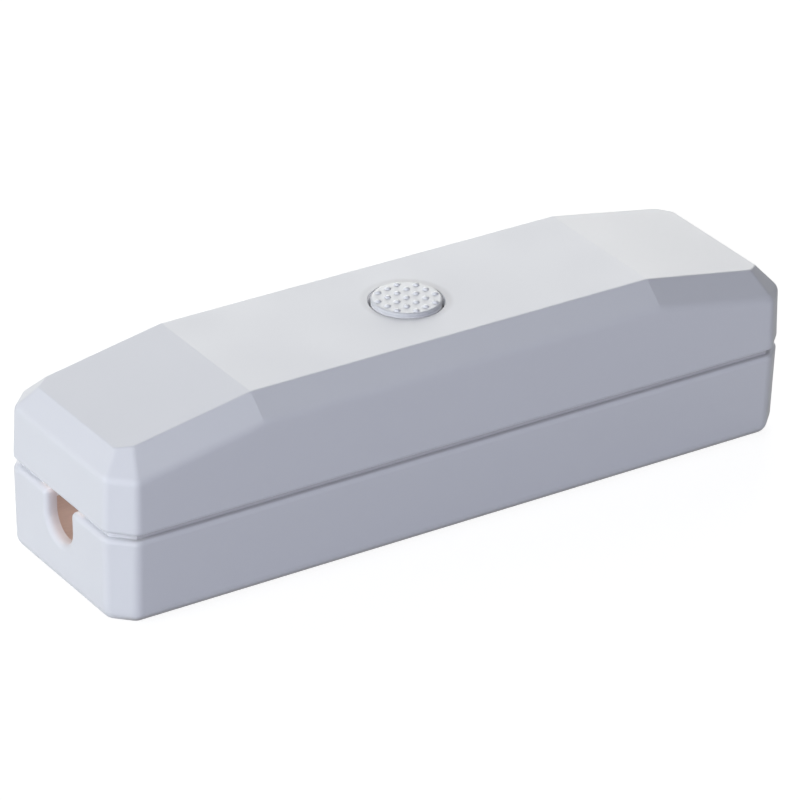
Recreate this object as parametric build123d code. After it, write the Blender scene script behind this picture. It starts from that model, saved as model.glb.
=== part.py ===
from build123d import *
import os
from math import cos, radians, sqrt, tan

# Inline cord dimmer: a two-part plastic housing that sits in a lamp cord, with a push button in the roof.
# Millimetres. X runs along the cord, Y across it and Z up. The origin is the middle of the underside.

# Housing, outside
LENGTH = 100.0                # at the seam
WIDTH = 27.85                 # at the seam
ROOF_HEIGHT = 25.7            # flat middle of the roof
CORNER = 3.0                  # plan chamfer of the four vertical corners
SEAM_HEIGHT = 12.0            # middle of the shadow gap between the shells
SEAM_GAP = 0.7
WALL = 1.6
DRAFT = 1.4                   # degrees, each shell narrows away from the seam
LOWER_EDGE_ROUND = 1.8        # bottom edges and vertical corners of the lower shell
SHOULDER_ROUND = 1.5          # corners of the upper shell and edges round its shoulders
ROOF_ROUND = 0.45             # edges of the roof
LOWER_RIM_ROUND = 0.65
UPPER_RIM_ROUND = 0.6

# Roof and shoulders of the upper shell
FLAT_ROOF_LENGTH = 58.4
END_ROOF_DROP = 3.3           # from the flat roof to the roof's edge at each end
SIDE_SHOULDER_INSET = 3.2
SIDE_SHOULDER_DROP = 2.8
END_SHOULDER_INSET = 2.45
END_SHOULDER_DROP = 2.85
CORNER_SHOULDER_INSET = 3.0
ROOF_TILT = 20.0              # degrees, all of the roof is flatter and every shoulder steeper

# Tongue on the lower rim that closes the seam from inside
TONGUE = 0.7
TONGUE_HEIGHT = 2.2
TONGUE_CLEARANCE = 0.1
TONGUE_RELIEF = 2.0           # bare rim on each side of an inlet

# Cord inlets, one in each end wall
INLET_RADIUS = 3.0
INLET_DEPTH = 6.5             # from the upper shell down to its lowest point
INLET_ROUND = 0.7

# Button
BUTTON_DIAMETER = 8.95
BUTTON_GAP = 0.3              # round the cap in its hole
BUTTON_PROUD = 0.45           # cap above the roof at rest
BUTTON_TRAVEL = 0.5
BUTTON_EDGE_ROUND = 0.3
HOLE_EDGE_ROUND = 0.2
CAP_THICKNESS = 1.5
CAP_WALL = 1.2
FLANGE_WIDTH = 1.3
FLANGE_THICKNESS = 1.2
STEM_DIAMETER = 3.6
STEM_RIB = 0.8
COLLAR_CLEARANCE = 0.25
COLLAR_WALL = 1.2
COLLAR_DEPTH = 4.2
DOT_PITCH = 1.67
DOT_DIAMETER = 0.9
DOT_HEIGHT = 0.25
DOT_REACH = 4.0               # dots farther than this from the middle are left out
DOT_TURN = 12.0               # degrees from X

# Screws
HOUSING_SCREW_THREAD = 2.9
HOUSING_SCREW_HEAD = 5.4
HOUSING_SCREW_HEAD_HEIGHT = 2.0
HOUSING_SCREW_LENGTH = 11.0   # under the head
CLAMP_SCREW_THREAD = 2.5
CLAMP_SCREW_HEAD = 4.6
CLAMP_SCREW_HEAD_HEIGHT = 1.6
CLAMP_SCREW_LENGTH = 8.0
BOARD_SCREW_THREAD = 2.0
BOARD_SCREW_HEAD = 3.8
BOARD_SCREW_HEAD_HEIGHT = 1.2
BOARD_SCREW_LENGTH = 3.4
TERMINAL_SCREW_THREAD = 2.4
TERMINAL_SCREW_HEAD = 3.4
TERMINAL_SCREW_HEAD_HEIGHT = 1.2
TERMINAL_SCREW_LENGTH = 3.0
SCREW_CLEARANCE = 0.05        # radial, in the hole that takes the thread
HEAD_CLEARANCE = 0.2          # radial, round a sunk head
HEAD_CHAMFER = 0.5
RECESS_DEPTH = 0.6            # driver slots in the heads
RECESS_WIDTH = 0.7

# Housing screw bosses
BOSS_WALL = 1.2
BOSS_SINK = 0.6               # how far a boss runs into the walls beside it
HEAD_DEPTH = 5.5              # from the underside to the seat of the screw head
UPPER_BOSS_RADIUS = 3.2

# Cord clamps
POST_RADIUS = 2.7
POST_GAP = 0.6                # from the cord to a post
CLAMP_THICKNESS = 2.2
TOOTH_HEIGHT = 0.5
TOOTH_WIDTH = 0.9
WIRE_ROOM = 2.4               # between clamp and terminal

# Circuit board
BOARD_THICKNESS = 1.6
STANDOFF = 1.6
BOARD_CLEARANCE = 0.4         # to the walls, posts and bosses
BOARD_WEB = 1.2               # between the cut-outs for a post and a boss
LEDGE_OVERLAP = 1.0
BOARD_POST_RADIUS = 2.4
EDGE_MARGIN = 1.2             # from the board's long edges to the parts on it
PART_GAP = 0.5
LEAD_DIAMETER = 0.8
LEAD_CLEARANCE = 0.1
LEAD_PROUD = 1.0              # below the board
LEAD_RISE = 1.6               # parts that stand on their leads

# Screw terminals, two poles each
TERMINAL_PITCH = 5.08
TERMINAL_DEPTH = 8.2
TERMINAL_HEIGHT = 9.8
TERMINAL_FLOOR = 1.2
TERMINAL_LIP = 0.6            # wire clamp behind the face
CAGE_WIDTH = 4.0
CAGE_DEPTH = 5.0
CAGE_HEIGHT = 5.6
CAGE_WALL = 0.8
CAGE_CLEARANCE = 0.1
HEAD_SEAT = 0.9               # wall between a wire clamp and its screw head

# Momentary switch under the button
SWITCH_SIDE = 6.2
SWITCH_HEIGHT = 3.5
SWITCH_LID = 0.8
SWITCH_CHAMFER = 0.6
PLUNGER_DIAMETER = 3.4
PLUNGER_HEIGHT = 13.0         # top above the board
PLUNGER_CLEARANCE = 0.1
FOOT_DIAMETER = 4.6
FOOT_THICKNESS = 0.8
FOOT_ROOM = 0.3               # left under the foot when the button is down
SWITCH_LEAD_SPAN = 5.0

# Electronic parts
FILM_LENGTH = 10.5
FILM_DEPTH = 6.0
FILM_HEIGHT = 12.0
FILM_ROUND = 0.6
FILM_LEAD_SPAN = 7.5
FUSE_DIAMETER = 8.4
FUSE_HEIGHT = 7.6
FUSE_CHAMFER = 0.6
FUSE_LEAD_SPAN = 5.0
CAN_DIAMETER = 6.3
CAN_HEIGHT = 11.0
CAN_CHAMFER = 0.4
CAN_GROOVE = 0.3              # deep, and twice as wide
CAN_GROOVE_HEIGHT = 1.4
CAN_LEAD_SPAN = 2.5
CHOKE_DIAMETER = 11.0
CHOKE_HEIGHT = 13.0
CHOKE_FLANGE = 1.6
CHOKE_NECK = 5.0
CHOKE_WIRE = 1.4
CHOKE_LEAD_SPAN = 7.0
DISC_DIAMETER = 6.4
DISC_THICKNESS = 3.4
DISC_CHAMFER = 0.8
DISC_LEAD_SPAN = 5.0
RESISTOR_DIAMETER = 2.4
RESISTOR_WAIST = 2.0
RESISTOR_LENGTH = 5.0
RESISTOR_END = 1.1
RESISTOR_CHAMFER = 0.25
RESISTOR_LEAD_SPAN = 6.2
BRIDGE_LENGTH = 8.4
BRIDGE_WIDTH = 6.4
BRIDGE_HEIGHT = 3.2
BRIDGE_CHAMFER = 0.6
BRIDGE_LEAD_SPAN = 5.0
TRANSISTOR_WIDTH = 6.6
TRANSISTOR_DEPTH = 2.3
TRANSISTOR_HEIGHT = 6.1
TRANSISTOR_PITCH = 2.3
TAB_THICKNESS = 0.5
TAB_HEIGHT = 1.4              # above the body
TAB_WIDTH = 5.4
CHIP_LENGTH = 4.9
CHIP_WIDTH = 3.9
CHIP_HEIGHT = 1.4
CHIP_SPAN = 6.0               # over the legs
CHIP_LEG = 0.4
CHIP_LEG_THICKNESS = 0.2
CHIP_PITCH = 1.27
CHIP_LEGS = 4                 # on each side

# Heights and slope that follow from the sizes above
LOWER_RIM = SEAM_HEIGHT - SEAM_GAP / 2
UPPER_RIM = SEAM_HEIGHT + SEAM_GAP / 2
ROOF_UNDERSIDE = ROOF_HEIGHT - WALL
TONGUE_TOP = LOWER_RIM + TONGUE_HEIGHT
INLET_CENTRE = UPPER_RIM - INLET_DEPTH + INLET_RADIUS
CLAMP_UNDERSIDE = UPPER_RIM
CLAMP_TOP = CLAMP_UNDERSIDE + CLAMP_THICKNESS
BOARD_UNDERSIDE = WALL + STANDOFF
BOARD_TOP = BOARD_UNDERSIDE + BOARD_THICKNESS
LEAD_END = BOARD_UNDERSIDE - LEAD_PROUD
PLUNGER_TOP = BOARD_TOP + PLUNGER_HEIGHT
CAGE_BOTTOM = BOARD_TOP + TERMINAL_FLOOR
CAGE_TOP = CAGE_BOTTOM + CAGE_HEIGHT
TERMINAL_SEAT = CAGE_TOP + CAGE_CLEARANCE + HEAD_SEAT
WALL_SLOPE = tan(radians(DRAFT))    # how far a wall leans in for each millimetre of height

# Places that follow from the sizes above, on the +X end
INNER_X = LENGTH / 2 - WALL
INNER_Y = WIDTH / 2 - WALL
BOSS_RADIUS = HOUSING_SCREW_HEAD / 2 + HEAD_CLEARANCE + BOSS_WALL
BOSS_X = INNER_X - BOSS_RADIUS + BOSS_SINK
BOSS_Y = INNER_Y - BOSS_RADIUS + BOSS_SINK
CLAMP_X = BOSS_X - BOSS_RADIUS - POST_RADIUS - 2 * BOARD_CLEARANCE - BOARD_WEB
POST_Y = INLET_RADIUS + POST_GAP + POST_RADIUS
TERMINAL_FACE = CLAMP_X - POST_RADIUS - WIRE_ROOM
TERMINAL_BACK = TERMINAL_FACE - TERMINAL_DEPTH
TERMINAL_WIDTH = 2 * TERMINAL_PITCH
CAGE_FACE = TERMINAL_FACE - TERMINAL_LIP
CAGE_X = CAGE_FACE - CAGE_DEPTH / 2
BOARD_LENGTH = 2 * (INNER_X - BOARD_CLEARANCE)
BOARD_WIDTH = 2 * (INNER_Y - BOARD_CLEARANCE)
COLUMN_X = TERMINAL_BACK - PART_GAP - BOARD_SCREW_HEAD / 2
ROW_END = COLUMN_X - BOARD_SCREW_HEAD / 2 - PART_GAP


def row_y(depth):
    """Middle of a part of this depth that stands at the back margin of the board."""
    return BOARD_WIDTH / 2 - EDGE_MARGIN - depth / 2


# Middle of each part on the board
FILM_PLACE = (-ROW_END + FILM_LENGTH / 2, row_y(FILM_DEPTH))
CHOKE_PLACE = (ROW_END - CHOKE_DIAMETER / 2, row_y(CHOKE_DIAMETER))
CHIP_PLACE = (0, row_y(CHIP_SPAN))
FUSE_PLACE = (-ROW_END + FUSE_DIAMETER / 2, -row_y(FUSE_DIAMETER))
BRIDGE_PLACE = (ROW_END - BRIDGE_LENGTH / 2, -row_y(BRIDGE_WIDTH))
CAN_PLACE = (ROW_END - BRIDGE_LENGTH - PART_GAP - CAN_DIAMETER / 2, -row_y(CAN_DIAMETER))
RESISTOR_PLACE = (-COLUMN_X, row_y(RESISTOR_LEAD_SPAN + LEAD_DIAMETER))
DISC_PLACE = (-COLUMN_X, -row_y(DISC_DIAMETER))
TRANSISTOR_PLACES = [(COLUMN_X, row_y(TRANSISTOR_WIDTH)), (COLUMN_X, -row_y(TRANSISTOR_WIDTH))]


def leads_along_x(place, span):
    x, y = place
    return [(x - span / 2, y), (x + span / 2, y)]


def leads_along_y(place, span):
    x, y = place
    return [(x, y - span / 2), (x, y + span / 2)]


def leads_at_corners(place, span):
    x, y = place
    half = span / 2
    return [(x + a * half, y + b * half) for a in (-1, 1) for b in (-1, 1)]


# Where leads pass through the board
LEADS = {
    "film": leads_along_x(FILM_PLACE, FILM_LEAD_SPAN),
    "choke": leads_along_x(CHOKE_PLACE, CHOKE_LEAD_SPAN),
    "fuse": leads_along_x(FUSE_PLACE, FUSE_LEAD_SPAN),
    "can": leads_along_x(CAN_PLACE, CAN_LEAD_SPAN),
    "bridge": leads_at_corners(BRIDGE_PLACE, BRIDGE_LEAD_SPAN),
    "resistor": leads_along_y(RESISTOR_PLACE, RESISTOR_LEAD_SPAN),
    "disc": leads_along_y(DISC_PLACE, DISC_LEAD_SPAN),
    "switch": leads_at_corners((0, 0), SWITCH_LEAD_SPAN),
    "cages": [(a * CAGE_X, b * TERMINAL_PITCH / 2) for a in (-1, 1) for b in (-1, 1)],
}
for number, (x, y) in enumerate(TRANSISTOR_PLACES):
    LEADS[f"transistor {number}"] = [(x, y + step * TRANSISTOR_PITCH) for step in (-1, 0, 1)]


def both_ends(shape):
    """The +X end and the same turned half round for the -X end."""
    return shape + Rot(0, 0, 180) * shape


def rod(x, y, bottom, top, radius):
    """Upright round bar between two heights."""
    return Pos(x, y, bottom) * Cylinder(radius, top - bottom, align=(Align.CENTER, Align.CENTER, Align.MIN))


def block(x, y, bottom, size_x, size_y, height):
    """Upright box on a given height."""
    return Pos(x, y, bottom) * Box(size_x, size_y, height, align=(Align.CENTER, Align.CENTER, Align.MIN))


def leads(name, top):
    """Round leads of one part, from below the board up into its body."""
    return [rod(x, y, LEAD_END, top, LEAD_DIAMETER / 2) for x, y in LEADS[name]]


def screw(thread, head, head_height, length):
    """Screw with a slotted round head, seat at height 0 and thread end pointing down."""
    body = rod(0, 0, -length, 0, thread / 2) + rod(0, 0, 0, head_height, head / 2)
    body = chamfer(body.edges().group_by(Axis.Z)[-1], HEAD_CHAMFER)
    return body - block(0, 0, head_height - RECESS_DEPTH, head, RECESS_WIDTH, RECESS_DEPTH)


def thread_hole(x, y, seat, thread, length):
    """Blind hole for a screw that points down from the seat of its head."""
    return rod(x, y, seat - length - SCREW_CLEARANCE, seat, thread / 2 + SCREW_CLEARANCE)


def plan(inset):
    """Outline of the housing at the seam: a long rectangle with cut corners, moved inwards."""
    outline = Rectangle(LENGTH - 2 * inset, WIDTH - 2 * inset)
    return chamfer(outline.vertices(), CORNER - inset * (2 - sqrt(2)))


def ring(outer_inset, inner_inset, bottom, top):
    """Upright band that follows the outline."""
    return extrude(Pos(0, 0, bottom) * (plan(outer_inset) - plan(inner_inset)), amount=top - bottom)


def faceted(facets, bottom, top):
    """Body of four equal quarters between two heights, cut by planes that face out of one quarter."""
    corner = (Align.MIN, Align.MIN, Align.MIN)
    quarter = Pos(0, 0, bottom) * Box(LENGTH, WIDTH, top - bottom, align=corner)
    for facet in facets:
        quarter = split(quarter, bisect_by=facet, keep=Keep.BOTTOM)
    half = quarter + mirror(quarter, about=Plane.YZ)
    return half + mirror(half, about=Plane.XZ)


def walls(inset, rim, slope):
    """Side, end and corner wall of one quarter. They follow the outline at the rim and lean by the slope."""
    corner_inset = inset / sqrt(2)
    corner_x = LENGTH / 2 - CORNER - corner_inset
    return [
        Plane((0, WIDTH / 2 - inset, rim), z_dir=(0, 1, slope)),
        Plane((LENGTH / 2 - inset, 0, rim), z_dir=(1, 0, slope)),
        Plane((corner_x, WIDTH / 2 - corner_inset, rim), z_dir=(1, 1, sqrt(2) * slope)),
    ]


def lower_form(inset, bottom):
    """Tub that narrows from the lower rim down to its bottom."""
    return faceted(walls(inset, LOWER_RIM, -WALL_SLOPE), bottom, LOWER_RIM)


def roof_facets():
    """Roof and shoulders of one quarter of the upper shell. Neighbours meet in common points."""
    side_foot_height = ROOF_HEIGHT - SIDE_SHOULDER_DROP
    end_roof_height = ROOF_HEIGHT - END_ROOF_DROP
    end_foot_height = end_roof_height - END_SHOULDER_DROP
    side_lean = (side_foot_height - UPPER_RIM) * WALL_SLOPE
    end_lean = (end_foot_height - UPPER_RIM) * WALL_SLOPE

    ridge_foot = Vector(FLAT_ROOF_LENGTH / 2, WIDTH / 2 - side_lean, side_foot_height)
    ridge_top = ridge_foot + Vector(0, -SIDE_SHOULDER_INSET, SIDE_SHOULDER_DROP)
    corner_foot_x = LENGTH / 2 - CORNER - (sqrt(2) - 1) * end_lean
    corner_foot = Vector(corner_foot_x, WIDTH / 2 - end_lean, end_foot_height)
    end_top = Vector(LENGTH / 2 - end_lean - END_SHOULDER_INSET, 0, end_roof_height)
    roof_run = end_top.X - ridge_top.X
    sloping_shoulder = (ridge_top - ridge_foot).cross(corner_foot - ridge_foot)

    return [
        Plane((0, 0, ROOF_HEIGHT), z_dir=(0, 0, 1)),
        Plane(ridge_top, z_dir=(END_ROOF_DROP, 0, roof_run)),
        Plane(ridge_top, z_dir=(0, SIDE_SHOULDER_DROP, SIDE_SHOULDER_INSET)),
        Plane(ridge_top, z_dir=sloping_shoulder),
        Plane(end_top, z_dir=(END_SHOULDER_DROP, 0, END_SHOULDER_INSET)),
        Plane(corner_foot, z_dir=(END_SHOULDER_DROP, END_SHOULDER_DROP, sqrt(2) * CORNER_SHOULDER_INSET)),
    ]


def upper_form(inset, bottom):
    """Faceted body of the upper shell above a height, all facets moved inwards by the inset."""
    roof = [facet.offset(-inset) for facet in roof_facets()]
    return faceted(walls(inset, UPPER_RIM, WALL_SLOPE) + roof, bottom, ROOF_HEIGHT)


def roof_edges(form):
    """Edges of the roof's flat middle and sloping ends, the faces that look nearly straight up."""
    return form.faces().filter_by(lambda face: face.normal_at().Z > cos(radians(ROOF_TILT))).edges()


def at_crease(edge):
    """True for the edges across roof and shoulders where the flat middle of the roof ends."""
    return abs(abs(edge.center().X) - FLAT_ROOF_LENGTH / 2) < ROOF_ROUND


def inlet():
    """U-shaped gap in the +X end wall, open at the top."""
    height = TONGUE_TOP - INLET_CENTRE
    outline = Circle(INLET_RADIUS) + Pos(0, height / 2) * Rectangle(2 * INLET_RADIUS, height)
    across = Plane((INNER_X - TONGUE, 0, INLET_CENTRE), x_dir=(0, 1, 0), z_dir=(1, 0, 0))
    return extrude(across * outline, amount=LENGTH - INNER_X)


def at_inlet_mouth(edge):
    """True for the edges of an inlet on the outer face of its end wall."""
    outside = abs(edge.center().X) > LENGTH / 2 - WALL / 2
    below_rim = INLET_CENTRE - INLET_RADIUS - WALL / 2 < edge.center().Z < LOWER_RIM
    return outside and below_rim and abs(edge.center().Y) < INLET_RADIUS + WALL / 2


def solid_tub():
    """Outer form of the lower shell, not yet hollow, with its rim rounded into the inlets."""
    tub = lower_form(0, 0)
    tub = fillet(tub.edges().filter_by(lambda edge: edge.center().Z < LOWER_RIM), LOWER_EDGE_ROUND)
    tub -= both_ends(inlet())
    tub = fillet(tub.edges().filter_by(at_inlet_mouth), INLET_ROUND)
    rim = tub.edges().group_by(Axis.Z)[-1]
    inside = LENGTH / 2 - WALL - TONGUE / 2
    outer_rim = rim.filter_by(lambda edge: abs(edge.center().X) > inside or abs(edge.center().Y) > INNER_Y)
    return fillet(outer_rim, LOWER_RIM_ROUND)


def lower_housing():
    shell = solid_tub() - lower_form(WALL, WALL)
    shell += ring(WALL - TONGUE, WALL, LOWER_RIM, TONGUE_TOP)

    # Bosses, clamp posts, board posts and board ledges grow from the floor and the walls
    root = WALL / 2
    ledge_length = CLAMP_X - POST_RADIUS
    ledge_width = WALL + BOARD_CLEARANCE + LEDGE_OVERLAP
    inside = rod(BOSS_X, BOSS_Y, root, LOWER_RIM, BOSS_RADIUS)
    for side in (-1, 1):
        inside += rod(CLAMP_X, side * POST_Y, root, CLAMP_UNDERSIDE, POST_RADIUS)
        ledge_y = side * (WIDTH - ledge_width) / 2
        inside += block(ledge_length / 2, ledge_y, root, ledge_length, ledge_width, BOARD_UNDERSIDE - root)
    inside += rod(COLUMN_X, 0, root, BOARD_UNDERSIDE, BOARD_POST_RADIUS)
    room = lower_form(root, root) + extrude(Pos(0, 0, LOWER_RIM) * plan(WALL), amount=TONGUE_HEIGHT)
    shell += both_ends(inside) & room

    # Screw holes from below, holes in the posts, and bare rim beside the inlets
    cuts = rod(BOSS_X, BOSS_Y, 0, HEAD_DEPTH, HOUSING_SCREW_HEAD / 2 + HEAD_CLEARANCE)
    cuts += rod(BOSS_X, BOSS_Y, HEAD_DEPTH, LOWER_RIM, HOUSING_SCREW_THREAD / 2 + HEAD_CLEARANCE)
    for side in (-1, 1):
        cuts += thread_hole(CLAMP_X, side * POST_Y, CLAMP_TOP, CLAMP_SCREW_THREAD, CLAMP_SCREW_LENGTH)
    cuts += thread_hole(COLUMN_X, 0, BOARD_TOP, BOARD_SCREW_THREAD, BOARD_SCREW_LENGTH)
    bare_rim = 2 * (INLET_RADIUS + TONGUE_RELIEF)
    cuts += block(LENGTH / 2, 0, LOWER_RIM, 2 * (WALL + TONGUE), bare_rim, TONGUE_HEIGHT)
    return shell - both_ends(cuts)


def upper_housing():
    solid_cover = upper_form(0, UPPER_RIM)
    above_rim = solid_cover.edges().filter_by(lambda edge: edge.center().Z > UPPER_RIM)
    roof = roof_edges(solid_cover)
    shoulder_edges = above_rim.filter_by(lambda edge: edge not in roof and not at_crease(edge))
    solid_cover = fillet(shoulder_edges, SHOULDER_ROUND)
    solid_cover = fillet(roof_edges(solid_cover), ROOF_ROUND)
    solid_cover = fillet(solid_cover.edges().group_by(Axis.Z)[0], UPPER_RIM_ROUND)
    shell = solid_cover - upper_form(WALL, LOWER_RIM)
    shell -= ring(WALL - TONGUE - TONGUE_CLEARANCE, WALL + TONGUE, LOWER_RIM, TONGUE_TOP)

    # Screw bosses and the collar that guides the button
    flange_radius = BUTTON_DIAMETER / 2 + FLANGE_WIDTH
    collar_radius = flange_radius + COLLAR_CLEARANCE
    collar_bottom = ROOF_UNDERSIDE - COLLAR_DEPTH
    bosses = both_ends(rod(BOSS_X, BOSS_Y, LOWER_RIM, ROOF_HEIGHT, UPPER_BOSS_RADIUS))
    shell += bosses & upper_form(WALL / 2, LOWER_RIM)
    shell += rod(0, 0, collar_bottom, ROOF_UNDERSIDE, collar_radius + COLLAR_WALL)
    shell -= rod(0, 0, collar_bottom, ROOF_UNDERSIDE, collar_radius)

    # Button hole and screw holes
    shell -= rod(0, 0, ROOF_UNDERSIDE, ROOF_HEIGHT, BUTTON_DIAMETER / 2 + BUTTON_GAP)
    hole_edge = shell.edges().filter_by(GeomType.CIRCLE).group_by(Axis.Z)[-1]
    shell = fillet(hole_edge, HOLE_EDGE_ROUND)
    hole_end = HEAD_DEPTH + HOUSING_SCREW_LENGTH + SCREW_CLEARANCE
    hole_radius = HOUSING_SCREW_THREAD / 2 + SCREW_CLEARANCE
    return shell - both_ends(rod(BOSS_X, BOSS_Y, LOWER_RIM, hole_end, hole_radius))


def push_button():
    cap_top = ROOF_HEIGHT + BUTTON_PROUD
    flange_bottom = ROOF_UNDERSIDE - FLANGE_THICKNESS
    cap_inside = cap_top - CAP_THICKNESS
    cap = rod(0, 0, flange_bottom, cap_top, BUTTON_DIAMETER / 2)
    cap = fillet(cap.edges().group_by(Axis.Z)[-1], BUTTON_EDGE_ROUND)
    cap += rod(0, 0, flange_bottom, ROOF_UNDERSIDE, BUTTON_DIAMETER / 2 + FLANGE_WIDTH)
    cap -= rod(0, 0, flange_bottom, cap_inside, BUTTON_DIAMETER / 2 - CAP_WALL)
    cap += rod(0, 0, PLUNGER_TOP, cap_inside, STEM_DIAMETER / 2)
    for turn in (0, 90):
        rib_length = BUTTON_DIAMETER - CAP_WALL
        cap += Rot(0, 0, turn) * block(0, 0, flange_bottom, rib_length, STEM_RIB, cap_inside - flange_bottom)

    # Square grid of raised dots, one in the middle
    dot_sphere = ((DOT_DIAMETER / 2) ** 2 + DOT_HEIGHT ** 2) / (2 * DOT_HEIGHT)
    dot = Sphere(dot_sphere) & block(0, 0, 0, DOT_DIAMETER, DOT_DIAMETER, dot_sphere)
    steps = range(-int(DOT_REACH / DOT_PITCH), int(DOT_REACH / DOT_PITCH) + 1)
    for i in steps:
        for j in steps:
            x, y = i * DOT_PITCH, j * DOT_PITCH
            if sqrt(x * x + y * y) < DOT_REACH:
                cap += Rot(0, 0, DOT_TURN) * Pos(x, y, cap_top + DOT_HEIGHT - dot_sphere) * dot
    return cap


def housing_screws():
    one = screw(HOUSING_SCREW_THREAD, HOUSING_SCREW_HEAD, HOUSING_SCREW_HEAD_HEIGHT, HOUSING_SCREW_LENGTH)
    return both_ends(Pos(BOSS_X, BOSS_Y, HEAD_DEPTH) * Rot(180, 0, 0) * one)


def cord_clamp():
    """Bar over the cord at the +X end, with teeth below and a screw hole at each end."""
    bar = block(CLAMP_X, 0, CLAMP_UNDERSIDE, 2 * POST_RADIUS, 2 * (POST_Y + POST_RADIUS), CLAMP_THICKNESS)
    bar = fillet(bar.edges().filter_by(Axis.Z), POST_RADIUS / 2)
    half_tooth = TOOTH_WIDTH / 2
    tooth_section = Polygon((-half_tooth, 0), (half_tooth, 0), (0, TOOTH_HEIGHT), align=None)
    hole_radius = CLAMP_SCREW_THREAD / 2 + HEAD_CLEARANCE
    for side in (-1, 1):
        tooth_x = CLAMP_X + side * POST_RADIUS / 2
        downwards = Plane((tooth_x, 0, CLAMP_UNDERSIDE), x_dir=(1, 0, 0), z_dir=(0, 1, 0))
        bar += extrude(downwards * tooth_section, amount=INLET_RADIUS, both=True)
        bar -= rod(CLAMP_X, side * POST_Y, CLAMP_UNDERSIDE, CLAMP_TOP, hole_radius)
    return bar


def clamp_screws():
    one = screw(CLAMP_SCREW_THREAD, CLAMP_SCREW_HEAD, CLAMP_SCREW_HEAD_HEIGHT, CLAMP_SCREW_LENGTH)
    pair = [Pos(CLAMP_X, side * POST_Y, CLAMP_TOP) * one for side in (-1, 1)]
    return both_ends(pair[0] + pair[1])


def circuit_board():
    outline = Rectangle(BOARD_LENGTH, BOARD_WIDTH)
    outline = chamfer(outline.vertices(), CORNER)
    board = extrude(Pos(0, 0, BOARD_UNDERSIDE) * outline, amount=BOARD_THICKNESS)
    cuts = rod(BOSS_X, BOSS_Y, BOARD_UNDERSIDE, BOARD_TOP, BOSS_RADIUS + BOARD_CLEARANCE)
    notch_x = BOSS_X + BOSS_RADIUS
    notch_y = BOSS_Y + BOSS_RADIUS
    notch_side = 2 * (BOSS_RADIUS + BOARD_CLEARANCE)
    cuts += block(notch_x, BOSS_Y, BOARD_UNDERSIDE, 2 * BOSS_RADIUS, notch_side, BOARD_THICKNESS)
    cuts += block(BOSS_X, notch_y, BOARD_UNDERSIDE, notch_side, 2 * BOSS_RADIUS, BOARD_THICKNESS)
    for side in (-1, 1):
        cuts += rod(CLAMP_X, side * POST_Y, BOARD_UNDERSIDE, BOARD_TOP, POST_RADIUS + BOARD_CLEARANCE)
    cuts += rod(COLUMN_X, 0, BOARD_UNDERSIDE, BOARD_TOP, BOARD_SCREW_THREAD / 2 + HEAD_CLEARANCE)
    board -= both_ends(cuts)
    for points in LEADS.values():
        for x, y in points:
            board -= rod(x, y, BOARD_UNDERSIDE, BOARD_TOP, LEAD_DIAMETER / 2 + LEAD_CLEARANCE)
    return board


def board_screws():
    one = screw(BOARD_SCREW_THREAD, BOARD_SCREW_HEAD, BOARD_SCREW_HEAD_HEIGHT, BOARD_SCREW_LENGTH)
    return both_ends(Pos(COLUMN_X, 0, BOARD_TOP) * one)


def terminal():
    """Two-pole terminal at the +X end: a pocket for each wire clamp and a stepped hole for its screw."""
    middle = TERMINAL_FACE - TERMINAL_DEPTH / 2
    body = block(middle, 0, BOARD_TOP, TERMINAL_DEPTH, TERMINAL_WIDTH, TERMINAL_HEIGHT)
    top_front_edge = body.edges().filter_by(Axis.Y).group_by(Axis.Z)[-1].sort_by(Axis.X)[-1]
    body = chamfer(top_front_edge, TERMINAL_LIP + CAGE_WALL)
    pocket_depth = TERMINAL_LIP + CAGE_DEPTH + CAGE_CLEARANCE
    pocket_width = CAGE_WIDTH + 2 * CAGE_CLEARANCE
    terminal_top = BOARD_TOP + TERMINAL_HEIGHT
    for side in (-1, 1):
        y = side * TERMINAL_PITCH / 2
        pocket_x = TERMINAL_FACE - pocket_depth / 2
        body -= block(pocket_x, y, CAGE_BOTTOM, pocket_depth, pocket_width, CAGE_HEIGHT + CAGE_CLEARANCE)
        body -= rod(CAGE_X, y, BOARD_TOP, CAGE_BOTTOM, LEAD_DIAMETER / 2 + LEAD_CLEARANCE)
        body -= rod(CAGE_X, y, CAGE_TOP, TERMINAL_SEAT, TERMINAL_SCREW_THREAD / 2 + HEAD_CLEARANCE)
        body -= rod(CAGE_X, y, TERMINAL_SEAT, terminal_top, TERMINAL_SCREW_HEAD / 2 + HEAD_CLEARANCE)
    return body


def terminal_clamps():
    """Metal wire clamps, open along X, each with a pin through the board."""
    pair = Part()
    window_width = CAGE_WIDTH - 2 * CAGE_WALL
    window_height = CAGE_HEIGHT - 2 * CAGE_WALL
    for side in (-1, 1):
        y = side * TERMINAL_PITCH / 2
        cage = block(CAGE_X, y, CAGE_BOTTOM, CAGE_DEPTH, CAGE_WIDTH, CAGE_HEIGHT)
        cage -= block(CAGE_X, y, CAGE_BOTTOM + CAGE_WALL, CAGE_DEPTH, window_width, window_height)
        cage -= rod(CAGE_X, y, CAGE_TOP - CAGE_WALL, CAGE_TOP, TERMINAL_SCREW_THREAD / 2 + SCREW_CLEARANCE)
        cage += rod(CAGE_X, y, LEAD_END, CAGE_BOTTOM, LEAD_DIAMETER / 2)
        pair += cage
    return both_ends(pair)


def terminal_screws():
    one = screw(TERMINAL_SCREW_THREAD, TERMINAL_SCREW_HEAD, TERMINAL_SCREW_HEAD_HEIGHT, TERMINAL_SCREW_LENGTH)
    pair = [Pos(CAGE_X, side * TERMINAL_PITCH / 2, TERMINAL_SEAT) * one for side in (-1, 1)]
    return both_ends(pair[0] + pair[1])


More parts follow.
